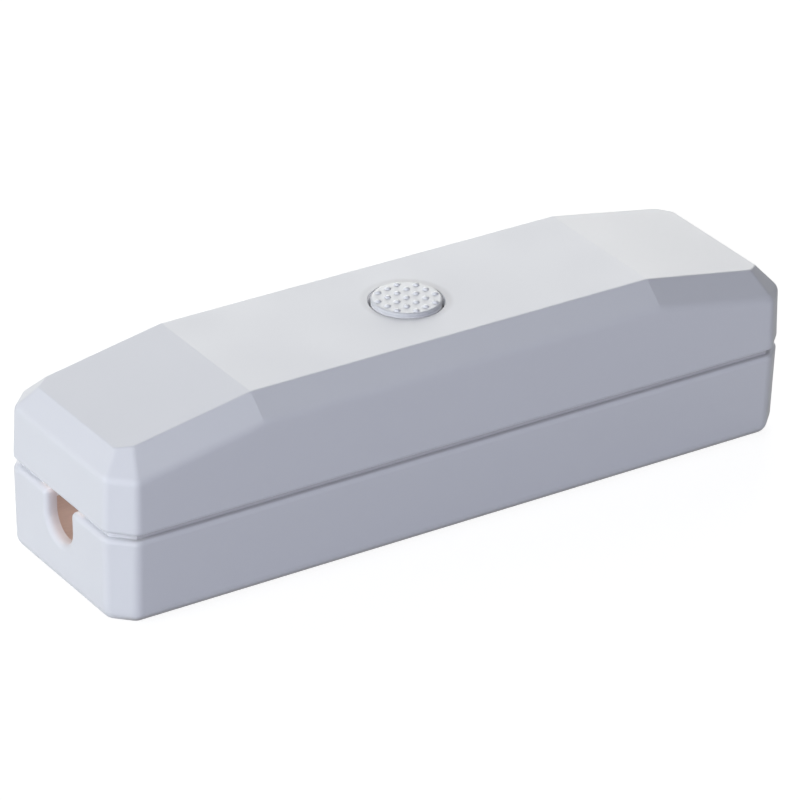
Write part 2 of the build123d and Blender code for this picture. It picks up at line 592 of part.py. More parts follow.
def switch_body():
    body = block(0, 0, BOARD_TOP, SWITCH_SIDE, SWITCH_SIDE, SWITCH_HEIGHT)
    body = chamfer(body.edges().filter_by(Axis.Z), SWITCH_CHAMFER)
    top = BOARD_TOP + SWITCH_HEIGHT
    chamber = FOOT_THICKNESS + BUTTON_TRAVEL + FOOT_ROOM
    body -= rod(0, 0, top - SWITCH_LID - chamber, top - SWITCH_LID, FOOT_DIAMETER / 2 + PLUNGER_CLEARANCE)
    body -= rod(0, 0, top - SWITCH_LID, top, PLUNGER_DIAMETER / 2 + PLUNGER_CLEARANCE)
    return body + leads("switch", BOARD_TOP)


def switch_plunger():
    foot_top = BOARD_TOP + SWITCH_HEIGHT - SWITCH_LID
    plunger = rod(0, 0, foot_top - FOOT_THICKNESS, foot_top, FOOT_DIAMETER / 2)
    return plunger + rod(0, 0, foot_top, PLUNGER_TOP, PLUNGER_DIAMETER / 2)


def power_transistor(number):
    """Flat package that stands on three leads, with its metal tab towards the terminal."""
    x, y = TRANSISTOR_PLACES[number]
    bottom = BOARD_TOP + LEAD_RISE
    body = block(x - TAB_THICKNESS / 2, y, bottom, TRANSISTOR_DEPTH, TRANSISTOR_WIDTH, TRANSISTOR_HEIGHT)
    body = chamfer(body.faces().sort_by(Axis.X)[0].edges(), TAB_THICKNESS)
    tab_x = x + TRANSISTOR_DEPTH / 2
    body += block(tab_x, y, bottom, TAB_THICKNESS, TAB_WIDTH, TRANSISTOR_HEIGHT + TAB_HEIGHT)
    return body + leads(f"transistor {number}", bottom)


def interference_capacitor():
    x, y = FILM_PLACE
    body = block(x, y, BOARD_TOP, FILM_LENGTH, FILM_DEPTH, FILM_HEIGHT)
    body = fillet(body.edges().filter_by(lambda edge: edge.center().Z > BOARD_TOP), FILM_ROUND)
    return body + leads("film", BOARD_TOP)


def choke_core():
    """Ferrite drum: two flanges on a neck."""
    x, y = CHOKE_PLACE
    top = BOARD_TOP + CHOKE_HEIGHT
    core = rod(x, y, BOARD_TOP, top, CHOKE_NECK / 2)
    core += rod(x, y, BOARD_TOP, BOARD_TOP + CHOKE_FLANGE, CHOKE_DIAMETER / 2)
    core += rod(x, y, top - CHOKE_FLANGE, top, CHOKE_DIAMETER / 2)
    return core + leads("choke", BOARD_TOP)


def choke_winding():
    """Copper turns between the flanges, as many as fit, each a ridge on the outside."""
    x, y = CHOKE_PLACE
    room = CHOKE_HEIGHT - 2 * CHOKE_FLANGE
    bottom = BOARD_TOP + CHOKE_FLANGE
    turns = int(room / CHOKE_WIRE)
    pitch = room / turns
    inner = CHOKE_NECK / 2
    valley = CHOKE_DIAMETER / 2 - CHOKE_WIRE
    ridge = valley + CHOKE_WIRE / 2
    points = [(inner, bottom + room), (inner, bottom), (valley, bottom)]
    for turn in range(turns):
        points += [(ridge, bottom + (turn + 0.5) * pitch), (valley, bottom + (turn + 1) * pitch)]
    section = Polygon(*points, align=None)
    return Pos(x, y, 0) * revolve(Plane.XZ * section, Axis.Z)


def fuse():
    x, y = FUSE_PLACE
    body = rod(x, y, BOARD_TOP, BOARD_TOP + FUSE_HEIGHT, FUSE_DIAMETER / 2)
    body = chamfer(body.edges().group_by(Axis.Z)[-1], FUSE_CHAMFER)
    return body + leads("fuse", BOARD_TOP)


def surge_disc():
    """Round varistor that stands on edge, held by its leads."""
    x, y = DISC_PLACE
    middle = BOARD_TOP + LEAD_RISE + DISC_DIAMETER / 2
    disc = Pos(x, y, middle) * Rot(0, 90, 0) * Cylinder(DISC_DIAMETER / 2, DISC_THICKNESS)
    disc = chamfer(disc.edges().filter_by(GeomType.CIRCLE), DISC_CHAMFER)
    return disc + leads("disc", middle)


def smoothing_capacitor():
    x, y = CAN_PLACE
    top = BOARD_TOP + CAN_HEIGHT
    can = rod(x, y, BOARD_TOP, top, CAN_DIAMETER / 2)
    can = chamfer(can.edges().group_by(Axis.Z)[-1], CAN_CHAMFER)
    groove = Polygon((0, -CAN_GROOVE), (0, CAN_GROOVE), (-CAN_GROOVE, 0), align=None)
    groove_place = Pos(CAN_DIAMETER / 2, BOARD_TOP + CAN_GROOVE_HEIGHT)
    can -= Pos(x, y, 0) * revolve(Plane.XZ * groove_place * groove, Axis.Z)
    return can + leads("can", BOARD_TOP)


def dropper_resistor():
    """Axial resistor along Y: waisted body, leads bent down into the board."""
    x, y = RESISTOR_PLACE
    axis_height = BOARD_TOP + RESISTOR_DIAMETER / 2
    lying = Pos(x, y, axis_height) * Rot(90, 0, 0)
    body = lying * Cylinder(RESISTOR_WAIST / 2, RESISTOR_LENGTH)
    end_place = (RESISTOR_LENGTH - RESISTOR_END) / 2
    for side in (-1, 1):
        end = Cylinder(RESISTOR_DIAMETER / 2, RESISTOR_END)
        end = chamfer(end.edges().filter_by(GeomType.CIRCLE), RESISTOR_CHAMFER)
        body += lying * Pos(0, 0, side * end_place) * end
    body += lying * Cylinder(LEAD_DIAMETER / 2, RESISTOR_LEAD_SPAN)
    return body + leads("resistor", axis_height)


def bridge_rectifier():
    x, y = BRIDGE_PLACE
    body = block(x, y, BOARD_TOP, BRIDGE_LENGTH, BRIDGE_WIDTH, BRIDGE_HEIGHT)
    body = chamfer(body.faces().sort_by(Axis.Z)[-1].edges(), BRIDGE_CHAMFER)
    return body + leads("bridge", BOARD_TOP)


def controller_chip():
    """Small flat package with four bent legs along each long side."""
    x, y = CHIP_PLACE
    stand = CHIP_LEG_THICKNESS
    body = block(x, y, BOARD_TOP + stand, CHIP_LENGTH, CHIP_WIDTH, CHIP_HEIGHT)
    body = chamfer(body.faces().sort_by(Axis.Z)[-1].edges(), stand)
    knee = (CHIP_WIDTH + CHIP_SPAN) / 4
    bend = (stand + CHIP_HEIGHT) / 2
    toe = CHIP_SPAN / 2
    leg_inside = [(0, bend), (knee - stand, bend), (knee - stand, 0), (toe, 0)]
    leg_outside = [(toe, stand), (knee, stand), (knee, bend + stand), (0, bend + stand)]
    leg_profile = Polygon(*leg_inside, *leg_outside, align=None)
    for turn in (0, 180):
        for number in range(CHIP_LEGS):
            leg_x = (number - (CHIP_LEGS - 1) / 2) * CHIP_PITCH
            across = Plane((leg_x, 0, BOARD_TOP), x_dir=(0, 1, 0), z_dir=(1, 0, 0))
            leg = extrude(across * leg_profile, amount=CHIP_LEG / 2, both=True)
            body += Pos(x, y, 0) * Rot(0, 0, turn) * leg
    return body


right_clamp = cord_clamp()
right_terminal = terminal()
half_turn = Rot(0, 0, 180)

nodes = {
    "lower_housing": lower_housing(),
    "upper_housing": upper_housing(),
    "push_button": push_button(),
    "housing_screws": housing_screws(),
    "input_cord_clamp": half_turn * right_clamp,
    "output_cord_clamp": right_clamp,
    "clamp_screws": clamp_screws(),
    "circuit_board": circuit_board(),
    "board_screws": board_screws(),
    "input_terminal": half_turn * right_terminal,
    "output_terminal": right_terminal,
    "terminal_clamps": terminal_clamps(),
    "terminal_screws": terminal_screws(),
    "switch_body": switch_body(),
    "switch_plunger": switch_plunger(),
    "power_transistor_a": power_transistor(0),
    "power_transistor_b": power_transistor(1),
    "interference_capacitor": interference_capacitor(),
    "choke_core": choke_core(),
    "choke_winding": choke_winding(),
    "fuse": fuse(),
    "surge_disc": surge_disc(),
    "smoothing_capacitor": smoothing_capacitor(),
    "dropper_resistor": dropper_resistor(),
    "bridge_rectifier": bridge_rectifier(),
    "controller_chip": controller_chip(),
}

os.makedirs("parts", exist_ok=True)
for name, shape in nodes.items():
    export_step(shape, f"parts/{name}.step")
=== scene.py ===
from math import cos, radians, sin

import bpy
from mathutils import Matrix, Vector


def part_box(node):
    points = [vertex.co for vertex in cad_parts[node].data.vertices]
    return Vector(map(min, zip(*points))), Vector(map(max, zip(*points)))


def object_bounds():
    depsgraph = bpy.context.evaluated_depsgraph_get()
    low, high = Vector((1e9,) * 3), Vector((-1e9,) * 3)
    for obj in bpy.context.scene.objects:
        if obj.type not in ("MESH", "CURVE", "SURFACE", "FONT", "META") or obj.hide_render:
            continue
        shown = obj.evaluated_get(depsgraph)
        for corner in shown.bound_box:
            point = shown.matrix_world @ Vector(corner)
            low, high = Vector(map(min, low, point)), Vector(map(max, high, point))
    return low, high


# Looks of the inline cord dimmer: camera, light, floor, and a material for every piece. Lengths in metres.

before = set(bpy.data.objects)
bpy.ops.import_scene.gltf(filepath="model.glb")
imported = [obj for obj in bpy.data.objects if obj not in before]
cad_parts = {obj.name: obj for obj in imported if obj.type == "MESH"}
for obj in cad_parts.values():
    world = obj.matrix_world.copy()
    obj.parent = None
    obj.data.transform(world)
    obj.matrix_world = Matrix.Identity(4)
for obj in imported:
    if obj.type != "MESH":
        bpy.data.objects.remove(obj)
cad_low, cad_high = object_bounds()

# Camera, at the photograph's viewing angle
CAMERA_AZIMUTH = -33.836        # degrees, 0 looks along +Y
CAMERA_ELEVATION = 27.984
CAMERA_ROLL = 1.331
CAMERA_DISTANCE = 0.6784
CAMERA_RIGHT = -0.000276        # from the origin, in the picture's plane
CAMERA_UP = 0.010389
CAMERA_LENS = 241.87            # millimetres, on a sensor 36 mm wide
CAMERA_NEAR = 0.01              # nearest place that it shows

# Floor and background
FLOOR_RADIUS = 20.0
FLOOR_CORNERS = 64
FLOOR_WHITE = 0.89              # glow that no shadow takes away
FLOOR_SHADE = 0.25              # reflectance that lets the object's shadow show
FLOOR_BOUNCE = 0.5              # reflectance for light that the floor throws back on to the object

# Soft lamps: azimuth and elevation in degrees, width, watts, colour
LAMP_DISTANCE = 2.0
LAMPS = {
    "back_left_softbox": (-135, 45, 1.0, 6.4, (0.90, 0.86, 1.0)),
    "left_softbox": (-90, 20, 1.0, 18.8, (0.95, 1.0, 0.98)),
    "back_right_softbox": (150, 18, 1.0, 24.0, (1.0, 1.0, 0.94)),
    "right_softbox": (136, 14, 1.0, 5.4, (0.98, 0.98, 1.0)),
    "camera_side_fill": (-36, 20, 0.5, 16.7, (0.80, 0.82, 1.0)),
}
AMBIENT_COLOUR = (0.90, 0.95, 1.0)
AMBIENT_STRENGTH = 0.08

# Warm light that comes through the thin white walls, as one small lamp inside behind each cord inlet
INNER_LAMP_REACH = 0.036        # along the cord from the middle
INNER_LAMP_HEIGHT = 0.0185
INNER_LAMP_RADIUS = 0.002
INNER_LAMP_WATTS = 0.0042
INNER_LAMP_COLOUR = (1.0, 0.87, 0.79)

# Places on the board that the materials of its parts go by
BOARD_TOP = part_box("circuit_board")[1].z
LEAD_RISE = 0.0016              # of the parts that stand on their leads
TAB_HEIGHT = 0.0014             # metal of a transistor above its body
TAB_THICKNESS = 0.0005
CHIP_WIDTH = 0.0039
RESISTOR_LENGTH = 0.0050

# Painted shade on the roof round the button's hole, more on the side away from the camera
ROOF_SHADE_MIDDLE = (0.00017, 0.00025)
ROOF_SHADE_FULL = 0.0053              # radius round that middle
ROOF_SHADE_NONE = 0.0061
ROOF_SHADE_SHARE = 0.4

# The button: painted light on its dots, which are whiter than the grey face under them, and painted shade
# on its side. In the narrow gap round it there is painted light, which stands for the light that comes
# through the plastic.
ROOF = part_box("upper_housing")[1].z
BUTTON_PROUD = 0.00045          # of the face under the dots
BUTTON_TOP = ROOF + BUTTON_PROUD
FACE_DEPTH = 0.00002            # of the face's grey band, up and down from it
GAP_FADE_LOW = ROOF - 0.0002
GAP_FADE_HIGH = ROOF + 0.0001
HOLE_RADIUS = 0.004775
HOLE_WALL_DEPTH = 0.00003       # of the painted light on the hole's wall

# Painted shade on the rim at the seam and painted shadow along the foot, both on the long sides, and
# painted warm shade deeper in the cord's inlets
SEAM_LOW = 0.01165
SEAM_SHADE_DEPTH = 0.00015
SEAM_SHADE_SHARE = 0.52
FOOT_SHADE_LOW = 0.0005
FOOT_SHADE_HIGH = 0.0014
FOOT_SHADE_SHARE = 0.7
SIDE_LENGTH = 0.046             # of the long sides, from the middle
HALF_LENGTH = cad_high.x
WALL = 0.0016
INLET_HALF_WIDTH = 0.0033
INLET_FOOT = 0.0055
INLET_SHADE_SHARE = 0.7

# Surface detail: the sizes of spots and ridges, and how far tone and roughness swing
PLASTIC_PATCH = 0.012
PLASTIC_TONE_SWING = 0.02
PLASTIC_GLOSS_SWING = 0.05
PLASTIC_GRAIN = 0.00022
PLASTIC_GRAIN_DEPTH = 0.000002
BUTTON_GRAIN = 0.00015
LACQUER_GRAIN_DEPTH = 0.000004
FERRITE_GRAIN_DEPTH = 0.00001
GLAZE_GRAIN = 0.0006
GLAZE_GRAIN_DEPTH = 0.00001
SCRATCH = 0.00008
SCRATCH_DEPTH = 0.000002
ALONG_X = (12, 1, 1)            # how far scratches are drawn out along each axis
ALONG_Z = (1, 1, 12)
TARNISH_PATCH = 0.0015
TARNISH_SWING = 0.15
METAL_GLOSS_SWING = 0.08
FIBRE = 0.0003
FIBRE_STRETCH = (8, 1, 1)
FIBRE_TONE_SWING = 0.25
FIBRE_DEPTH = 0.000004
RESIN_PATCH = 0.004
RESIN_ROUGHNESS = 0.42
RESIN_GLOSS_SWING = 0.06
WIRE_WAVE_SCALE = 900.0
WIRE_TONE_SWING = 0.5
WIRE_DEPTH = 0.00008
ENAMEL_COAT = 0.6
ENAMEL_PATCH = 0.002
ENAMEL_ROUGHNESS = 0.3
ENAMEL_GLOSS_SWING = 0.06

# Colours
WHITE = (0.775, 0.785, 0.810)
# painted light: the dots are whiter than the face, which softens their shading
DOT_PAINTED_LIGHT = (0.89, 0.90, 0.915)
# painted light in the narrow gap round the button, for the light that comes through the plastic
GAP_PAINTED_LIGHT = (0.97, 0.97, 0.975)
FACE_GREY = (0.705, 0.718, 0.735)
# painted shade on the button's side
SIDE_PAINTED_SHADE = (0.65, 0.66, 0.675)
# painted shade on the roof round the button's hole
ROOF_PAINTED_SHADE = (0.55, 0.55, 0.56)
# painted shade on the rim under the seam
SEAM_PAINTED_SHADE = (0.46, 0.44, 0.44)
# painted shadow along the foot
FOOT_PAINTED_SHADE = (0.32, 0.30, 0.28)
# painted warm shade inside the cord's inlets
INLET_PAINTED_SHADE = (0.40, 0.33, 0.31)
OFF_WHITE = (0.62, 0.60, 0.57)
GREY = (0.42, 0.45, 0.47)
BLACK = (0.028, 0.028, 0.030)
YELLOW = (0.75, 0.55, 0.08)
BROWN = (0.20, 0.09, 0.05)
BLUE = (0.05, 0.16, 0.42)
BEIGE = (0.55, 0.46, 0.34)
LAMINATE = (0.52, 0.38, 0.32)
STEEL = (0.58, 0.58, 0.60)
BRASS = (0.75, 0.58, 0.30)
COPPER = (0.60, 0.25, 0.12)
ALUMINIUM = (0.68, 0.69, 0.71)
TIN = (0.66, 0.66, 0.65)
RESISTOR_BANDS = [(0.30, 0.03, 0.02), (0.02, 0.02, 0.02), (0.75, 0.30, 0.02), (0.55, 0.40, 0.12)]


def direction(azimuth, elevation):
    """Unit vector from the object towards a place on the sky."""
    turn = radians(azimuth)
    lift = radians(elevation)
    return Vector((sin(turn) * cos(lift), -cos(turn) * cos(lift), sin(lift)))


def add_camera():
    back = direction(CAMERA_AZIMUTH, CAMERA_ELEVATION)
    level = direction(CAMERA_AZIMUTH + 90, 0)
    upward = back.cross(level)
    roll = radians(CAMERA_ROLL)
    right = level * cos(roll) + upward * sin(roll)
    up = back.cross(right)
    place = right * CAMERA_RIGHT + up * CAMERA_UP + back * CAMERA_DISTANCE
    camera = bpy.data.objects.new("camera", bpy.data.cameras.new("camera"))
    camera.data.lens = CAMERA_LENS
    camera.data.clip_start = CAMERA_NEAR
    camera.matrix_world = Matrix.Translation(place) @ Matrix((right, up, back)).transposed().to_4x4()
    bpy.context.scene.collection.objects.link(camera)
    bpy.context.scene.camera = camera


def add_lamp(name, azimuth, elevation, width, watts, colour):
    """Square soft lamp on the sky, turned towards the object."""
    lamp = bpy.data.lights.new(name, "AREA")
    lamp.size = width
    lamp.energy = watts
    lamp.color = colour
    holder = bpy.data.objects.new(name, lamp)
    away = direction(azimuth, elevation)
    holder.location = away * LAMP_DISTANCE
    holder.rotation_mode = "QUATERNION"
    holder.rotation_quaternion = away.to_track_quat("Z", "Y")
    bpy.context.scene.collection.objects.link(holder)


def add_inner_lamp(along):
    lamp = bpy.data.lights.new("inner_lamp", "POINT")
    lamp.shadow_soft_size = INNER_LAMP_RADIUS
    lamp.energy = INNER_LAMP_WATTS
    lamp.color = INNER_LAMP_COLOUR
    holder = bpy.data.objects.new("inner_lamp", lamp)
    holder.location = (along, 0, INNER_LAMP_HEIGHT)
    bpy.context.scene.collection.objects.link(holder)


def add_node(tree, kind, **values):
    """New node of a kind, with some of its inputs set by name."""
    node = tree.nodes.new(kind)
    for name, value in values.items():
        node.inputs[name].default_value = value
    return node


def calculate(tree, operation, first, second):
    """Socket with the result of a sum on a socket and a socket or number."""
    node = add_node(tree, "ShaderNodeMath")
    node.operation = operation
    tree.links.new(first, node.inputs[0])
    if isinstance(second, bpy.types.NodeSocket):
        tree.links.new(second, node.inputs[1])
    else:
        node.inputs[1].default_value = second
    return node.outputs["Value"]


def mix_by_rays(tree, for_light, for_sight):
    """Shader socket: one shader for rays that carry light, another for camera, mirror and glass rays."""
    rays = add_node(tree, "ShaderNodeLightPath")
    seen = calculate(tree, "MAXIMUM", rays.outputs["Is Camera Ray"], rays.outputs["Is Glossy Ray"])
    seen = calculate(tree, "MAXIMUM", seen, rays.outputs["Is Transmission Ray"])
    mix = add_node(tree, "ShaderNodeMixShader")
    tree.links.new(seen, mix.inputs["Fac"])
    tree.links.new(for_light, mix.inputs[1])
    tree.links.new(for_sight, mix.inputs[2])
    return mix.outputs["Shader"]


def add_world():
    """Faint light from all round, behind a background that looks white."""
    world = bpy.data.worlds.new("studio")
    world.use_nodes = True
    tree = world.node_tree
    tree.nodes.clear()
    ambient = add_node(tree, "ShaderNodeBackground", Color=(*AMBIENT_COLOUR, 1), Strength=AMBIENT_STRENGTH)
    white = add_node(tree, "ShaderNodeBackground", Color=(1, 1, 1, 1), Strength=1)
    output = add_node(tree, "ShaderNodeOutputWorld")
    shown = mix_by_rays(tree, ambient.outputs["Background"], white.outputs["Background"])
    tree.links.new(shown, output.inputs["Surface"])
    bpy.context.scene.world = world


def add_floor():
    """White floor that glows for the camera and keeps a faint shadow."""
    bpy.ops.mesh.primitive_circle_add(vertices=FLOOR_CORNERS, radius=FLOOR_RADIUS, fill_type="NGON")
    floor = bpy.context.object
    floor.name = "floor"
    material = bpy.data.materials.new("floor_white")
    material.use_nodes = True
    tree = material.node_tree
    tree.nodes.clear()
    bounce = add_node(tree, "ShaderNodeBsdfDiffuse", Color=(FLOOR_BOUNCE, FLOOR_BOUNCE, FLOOR_BOUNCE, 1))
    shade = add_node(tree, "ShaderNodeBsdfDiffuse", Color=(FLOOR_SHADE, FLOOR_SHADE, FLOOR_SHADE, 1))
    glow = add_node(tree, "ShaderNodeEmission", Color=(1, 1, 1, 1), Strength=FLOOR_WHITE)
    shaded_glow = add_node(tree, "ShaderNodeAddShader")
    tree.links.new(glow.outputs["Emission"], shaded_glow.inputs[0])
    tree.links.new(shade.outputs["BSDF"], shaded_glow.inputs[1])
    output = add_node(tree, "ShaderNodeOutputMaterial")
    shown = mix_by_rays(tree, bounce.outputs["BSDF"], shaded_glow.outputs["Shader"])
    tree.links.new(shown, output.inputs["Surface"])
    floor.data.materials.append(material)


class Finish:
    """A material under construction: its shader, and small node chains that feed it."""

    def __init__(self, name):
        self.material = bpy.data.materials.new(name)
        self.material.use_nodes = True
        self.tree = self.material.node_tree
        self.shader = self.tree.nodes["Principled BSDF"]
        self.place = add_node(self.tree, "ShaderNodeTexCoord").outputs["Object"]

    def link(self, source, target):
        self.tree.links.new(source, target)

    # Sockets to build with

    def noise(self, size, detail=2.0, stretch=(1, 1, 1)):
        """Noise with spots about this large, longer along the axes that are stretched."""
        scaled = add_node(self.tree, "ShaderNodeMapping", Scale=[1 / (size * s) for s in stretch])
        self.link(self.place, scaled.inputs["Vector"])
        cloud = add_node(self.tree, "ShaderNodeTexNoise", Scale=1.0, Detail=detail)
        self.link(scaled.outputs["Vector"], cloud.inputs["Vector"])
        return cloud.outputs["Fac"]

    def between(self, share, first, second):
        """Colour that goes from one colour to another; the first may be a socket."""
        mix = add_node(self.tree, "ShaderNodeMix")
        mix.data_type = "RGBA"
        self.link(share, mix.inputs["Factor"])
        if isinstance(first, bpy.types.NodeSocket):
            self.link(first, mix.inputs["A"])
        else:
            mix.inputs["A"].default_value = (*first, 1)
        mix.inputs["B"].default_value = (*second, 1)
        return mix.outputs["Result"]

    def ramp(self, share, first, second):
        """Number that goes from one number to another."""
        spread = add_node(self.tree, "ShaderNodeMapRange")
        self.link(share, spread.inputs["Value"])
        spread.inputs["To Min"].default_value = first
        spread.inputs["To Max"].default_value = second
        return spread.outputs["Result"]

    def fade(self, value, full, none, most=1.0):
        """Number that is at its most where a value is at full, and falls to 0 where it is at none."""
        spread = add_node(self.tree, "ShaderNodeMapRange")
        spread.interpolation_type = "SMOOTHSTEP"
        self.link(value, spread.inputs["Value"])
        spread.inputs["From Min"].default_value = full
        spread.inputs["From Max"].default_value = none
        spread.inputs["To Min"].default_value = most
        spread.inputs["To Max"].default_value = 0.0
        return spread.outputs["Result"]

    def below(self, value, limit):
        """1 where a value is below a limit, otherwise 0."""
        return calculate(self.tree, "LESS_THAN", value, limit)

    def both(self, first, second):
        """Share that two shares have in common."""
        return calculate(self.tree, "MULTIPLY", first, second)

    def coordinate(self, axis):
        """Place along X, Y or Z."""
        parts = add_node(self.tree, "ShaderNodeSeparateXYZ")
        self.link(self.place, parts.inputs["Vector"])
        return parts.outputs[axis]

    def from_middle(self):
        """Distance along the cord from the middle of the housing."""
        return calculate(self.tree, "ABSOLUTE", self.coordinate("X"), 0)

    def from_axis(self, x=0.0, y=0.0):
        """Distance from an upright axis, which is the button's unless another is given."""
        flat = self.vector_sum("MULTIPLY_ADD", self.place, (1, 1, 0), (-x, -y, 0))
        return self.vector_sum("LENGTH", flat.outputs["Vector"]).outputs["Value"]

    def outside(self, low, high):
        """1 outside a box in the row frame, 0 inside it."""
        shifted = self.vector_sum("SUBTRACT", self.place, (low + high) / 2)
        size = self.vector_sum("ABSOLUTE", shifted.outputs["Vector"])
        over = self.vector_sum("SUBTRACT", size.outputs["Vector"], (high - low) / 2)
        parts = add_node(self.tree, "ShaderNodeSeparateXYZ")
        self.link(over.outputs["Vector"], parts.inputs["Vector"])
        most = calculate(self.tree, "MAXIMUM", parts.outputs["X"], parts.outputs["Y"])
        most = calculate(self.tree, "MAXIMUM", most, parts.outputs["Z"])
        return calculate(self.tree, "GREATER_THAN", most, 0.0)

    def inside(self, low, high):
        """1 inside a box in the row frame, 0 outside it."""
        return self.below(self.outside(low, high), 0.5)

    def vector_sum(self, operation, first, *others):
        """Node with the result of a sum on a vector socket and fixed vectors."""
        node = add_node(self.tree, "ShaderNodeVectorMath")
        node.operation = operation
        self.link(first, node.inputs[0])
        for number, other in enumerate(others, start=1):
            node.inputs[number].default_value = other
        return node

    # What the shader gets

    def tone(self, share, colour, swing):
        """Base colour that darkens by a share of itself where the noise is low."""
        darker = [c * (1 - swing) for c in colour]
        self.link(self.between(share, darker, colour), self.shader.inputs["Base Color"])

    def cover(self, share, colour):
        """Another colour over the base colour, where the share is high."""
        bare = self.shader.inputs["Base Color"].links[0].from_socket
        self.link(self.between(share, bare, colour), self.shader.inputs["Base Color"])

    def gloss(self, share, roughness, swing):
        """Roughness that swings to both sides with the noise."""
        self.link(self.ramp(share, roughness - swing, roughness + swing), self.shader.inputs["Roughness"])

    def relief(self, height, depth):
        """Fine ups and downs of the surface."""
        bump = add_node(self.tree, "ShaderNodeBump", Strength=1.0, Distance=depth)
        self.link(height, bump.inputs["Height"])
        self.link(bump.outputs["Normal"], self.shader.inputs["Normal"])

    def tin_outside(self, low, high):
        """Bright tin wherever the piece sticks out of the box that its body fills."""
        mask = self.outside(low, high)
        self.cover(mask, TIN)
        if self.shader.inputs["Metallic"].default_value == 0:
            self.link(mask, self.shader.inputs["Metallic"])


def moulded(name, colour, roughness, grain=PLASTIC_GRAIN, depth=PLASTIC_GRAIN_DEPTH):
    """Moulded plastic: fine eroded grain, slightly uneven gloss and tone."""
    finish = Finish(name)
    cloud = finish.noise(PLASTIC_PATCH, detail=3.0)
    finish.tone(cloud, colour, PLASTIC_TONE_SWING)
    finish.gloss(cloud, roughness, PLASTIC_GLOSS_SWING)
    finish.relief(finish.noise(grain), depth)
    return finish


def metal(name, colour, roughness, stretch):
    """Drawn or turned metal: fine scratches along one axis, patches of tarnish."""
    finish = Finish(name)
    finish.shader.inputs["Metallic"].default_value = 1.0
    scratches = finish.noise(SCRATCH, detail=3.0, stretch=stretch)
    finish.tone(finish.noise(TARNISH_PATCH, detail=4.0), colour, TARNISH_SWING)
    finish.gloss(scratches, roughness, METAL_GLOSS_SWING)
    finish.relief(scratches, SCRATCH_DEPTH)
    return finish


def laminate(name):
    """Paper laminate soaked in resin: long fibres, half gloss in patches."""
    finish = Finish(name)
    fibres = finish.noise(FIBRE, detail=4.0, stretch=FIBRE_STRETCH)
    finish.tone(fibres, LAMINATE, FIBRE_TONE_SWING)
    finish.gloss(finish.noise(RESIN_PATCH), RESIN_ROUGHNESS, RESIN_GLOSS_SWING)
    finish.relief(fibres, FIBRE_DEPTH)
    return finish


def winding(name):
    """Enamelled wire: many thin turns round Z, each a small ridge."""
    finish = Finish(name)
    finish.shader.inputs["Metallic"].default_value = 1.0
    finish.shader.inputs["Coat Weight"].default_value = ENAMEL_COAT
    turns = add_node(finish.tree, "ShaderNodeTexWave", Scale=WIRE_WAVE_SCALE)
    turns.bands_direction = "Z"
    finish.link(finish.place, turns.inputs["Vector"])
    finish.tone(turns.outputs["Fac"], COPPER, WIRE_TONE_SWING)
    finish.gloss(finish.noise(ENAMEL_PATCH), ENAMEL_ROUGHNESS, ENAMEL_GLOSS_SWING)
    finish.relief(turns.outputs["Fac"], WIRE_DEPTH)
    return finish


def banded(name, low, high):
    """Lacquered resistor with colour bands across its axis, which lies along Y."""
    finish = moulded(name, BEIGE, roughness=0.3, depth=LACQUER_GRAIN_DEPTH)
    pitch = (high.y - low.y) / (len(RESISTOR_BANDS) + 1)
    half_band = pitch / 4
    for number, band in enumerate(RESISTOR_BANDS, start=1):
        middle = low.y + number * pitch
        band_low = Vector((low.x - pitch, middle - half_band, low.z - pitch))
        band_high = Vector((high.x + pitch, middle + half_band, high.z + pitch))
        finish.cover(finish.inside(band_low, band_high), band)
    return finish


def dress(node, finish):
    """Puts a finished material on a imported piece."""
    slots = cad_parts[node].data.materials
    slots.clear()
    slots.append(finish.material)


def dress_leaded(node, finish, low, high):
    """Dresses a part of the board, with tin on what sticks out of its body's box."""
    finish.tin_outside(low, high)
    dress(node, finish)


def body_box(node, low_z=BOARD_TOP):
    """Box that the body of a part fills, without the leads under it."""
    low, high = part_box(node)
    low.z = low_z
    return low, high


def narrow(low, high, width):
    """Brings a box to a width across Y, about its middle."""
    middle = (low.y + high.y) / 2
    low.y = middle - width / 2
    high.y = middle + width / 2


def dress_lower_housing():
    finish = moulded("lower_plastic", WHITE, roughness=0.58)
    height = finish.coordinate("Z")
    from_middle = finish.from_middle()
    long_sides = finish.fade(from_middle, SIDE_LENGTH, HALF_LENGTH)
    # Painted shade on the rim just under the seam
    seam_shade = finish.fade(height, SEAM_LOW, SEAM_LOW - SEAM_SHADE_DEPTH, SEAM_SHADE_SHARE)
    finish.cover(finish.both(seam_shade, long_sides), SEAM_PAINTED_SHADE)
    # Painted shadow along the foot, darker towards the bottom
    foot_shade = finish.fade(height, FOOT_SHADE_LOW, FOOT_SHADE_HIGH, FOOT_SHADE_SHARE)
    finish.cover(finish.both(foot_shade, long_sides), FOOT_PAINTED_SHADE)
    # Painted warm shade on the walls of the cord's inlets, darker deeper in
    inlet_shade = finish.fade(from_middle, HALF_LENGTH - WALL, HALF_LENGTH, INLET_SHADE_SHARE)
    for end in (-1, 1):
        middle = Vector((end * (HALF_LENGTH - WALL / 2), 0, (INLET_FOOT + SEAM_LOW) / 2))
        half = Vector((WALL, INLET_HALF_WIDTH, (SEAM_LOW - INLET_FOOT) / 2))
        finish.cover(finish.both(inlet_shade, finish.inside(middle - half, middle + half)), INLET_PAINTED_SHADE)
    dress("lower_housing", finish)


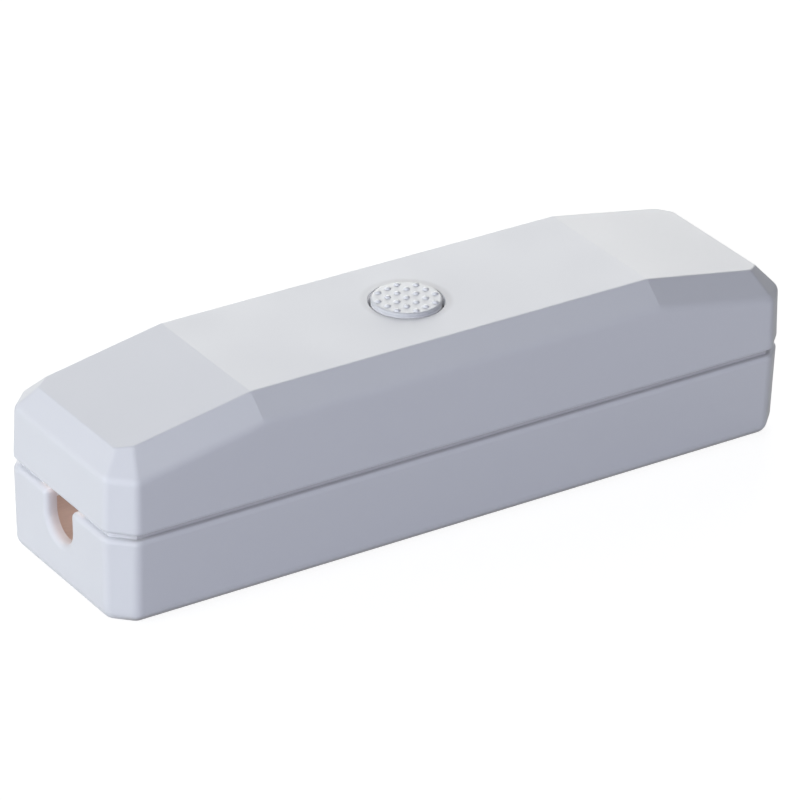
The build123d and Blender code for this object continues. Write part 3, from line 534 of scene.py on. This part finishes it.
def dress_upper_housing():
    finish = moulded("upper_plastic", WHITE, roughness=0.58)
    # Painted shade on the roof round the button's hole
    roof_painted_shade = finish.fade(finish.from_axis(*ROOF_SHADE_MIDDLE), ROOF_SHADE_FULL, ROOF_SHADE_NONE, ROOF_SHADE_SHARE)
    finish.cover(roof_painted_shade, ROOF_PAINTED_SHADE)
    # Painted light on the wall of the button's hole
    finish.cover(finish.below(finish.from_axis(), HOLE_RADIUS + HOLE_WALL_DEPTH), GAP_PAINTED_LIGHT)
    dress("upper_housing", finish)


def dress_button():
    """Painted light on the dots, grey from their foot, painted shade from the face's edge, painted light
    from the gap down.
    """
    finish = moulded("button_plastic", DOT_PAINTED_LIGHT, roughness=0.52, grain=BUTTON_GRAIN)
    height = finish.coordinate("Z")
    finish.cover(finish.below(height, BUTTON_TOP + FACE_DEPTH), FACE_GREY)
    # Painted shade on the button's side below the face
    finish.cover(finish.below(height, BUTTON_TOP - FACE_DEPTH), SIDE_PAINTED_SHADE)
    # Painted light on the button below the roof, in the gap
    finish.cover(finish.fade(height, GAP_FADE_LOW, GAP_FADE_HIGH), GAP_PAINTED_LIGHT)
    dress("push_button", finish)


def dress_fixings():
    zinc = metal("zinc_plate", STEEL, roughness=0.32, stretch=ALONG_Z)
    for node in ("housing_screws", "clamp_screws", "board_screws", "terminal_screws"):
        dress(node, zinc)
    dress("terminal_clamps", metal("brass", BRASS, roughness=0.28, stretch=ALONG_X))
    clamp_plastic = moulded("clamp_plastic", OFF_WHITE, roughness=0.5)
    terminal_plastic = moulded("terminal_plastic", GREY, roughness=0.45)
    for end in ("input", "output"):
        dress(f"{end}_cord_clamp", clamp_plastic)
        dress(f"{end}_terminal", terminal_plastic)


def dress_board():
    dress("circuit_board", laminate("phenolic_laminate"))
    dress("switch_plunger", moulded("plunger_plastic", BLACK, roughness=0.4))
    dress("choke_winding", winding("enamelled_copper"))

    seated_parts = {
        "switch_body": moulded("switch_plastic", BLACK, roughness=0.45),
        "interference_capacitor": moulded("film_case", YELLOW, roughness=0.3),
        "fuse": moulded("fuse_case", BROWN, roughness=0.4),
        "bridge_rectifier": moulded("bridge_epoxy", BLACK, roughness=0.5),
        "choke_core": moulded("ferrite", BLACK, roughness=0.6, depth=FERRITE_GRAIN_DEPTH),
        "smoothing_capacitor": metal("can_aluminium", ALUMINIUM, roughness=0.3, stretch=ALONG_Z),
    }
    for node, finish in seated_parts.items():
        dress_leaded(node, finish, *body_box(node))

    glaze = moulded("disc_epoxy", BLUE, roughness=0.25, grain=GLAZE_GRAIN, depth=GLAZE_GRAIN_DEPTH)
    dress_leaded("surge_disc", glaze, *body_box("surge_disc", BOARD_TOP + LEAD_RISE))

    low, high = body_box("dropper_resistor")
    narrow(low, high, RESISTOR_LENGTH)
    dress_leaded("dropper_resistor", banded("resistor_lacquer", low, high), low, high)

    low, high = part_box("controller_chip")
    narrow(low, high, CHIP_WIDTH)
    dress_leaded("controller_chip", moulded("chip_epoxy", BLACK, roughness=0.5), low, high)

    for node in ("power_transistor_a", "power_transistor_b"):
        low, high = body_box(node, BOARD_TOP + LEAD_RISE)
        high.z -= TAB_HEIGHT
        high.x -= TAB_THICKNESS
        dress_leaded(node, moulded(f"{node}_epoxy", BLACK, roughness=0.5), low, high)


add_camera()
for lamp_name, settings in LAMPS.items():
    add_lamp(lamp_name, *settings)
for along in (-INNER_LAMP_REACH, INNER_LAMP_REACH):
    add_inner_lamp(along)
add_world()
add_floor()
dress_lower_housing()
dress_upper_housing()
dress_button()
dress_fixings()
dress_board()

bpy.context.scene.view_settings.view_transform = "Standard"
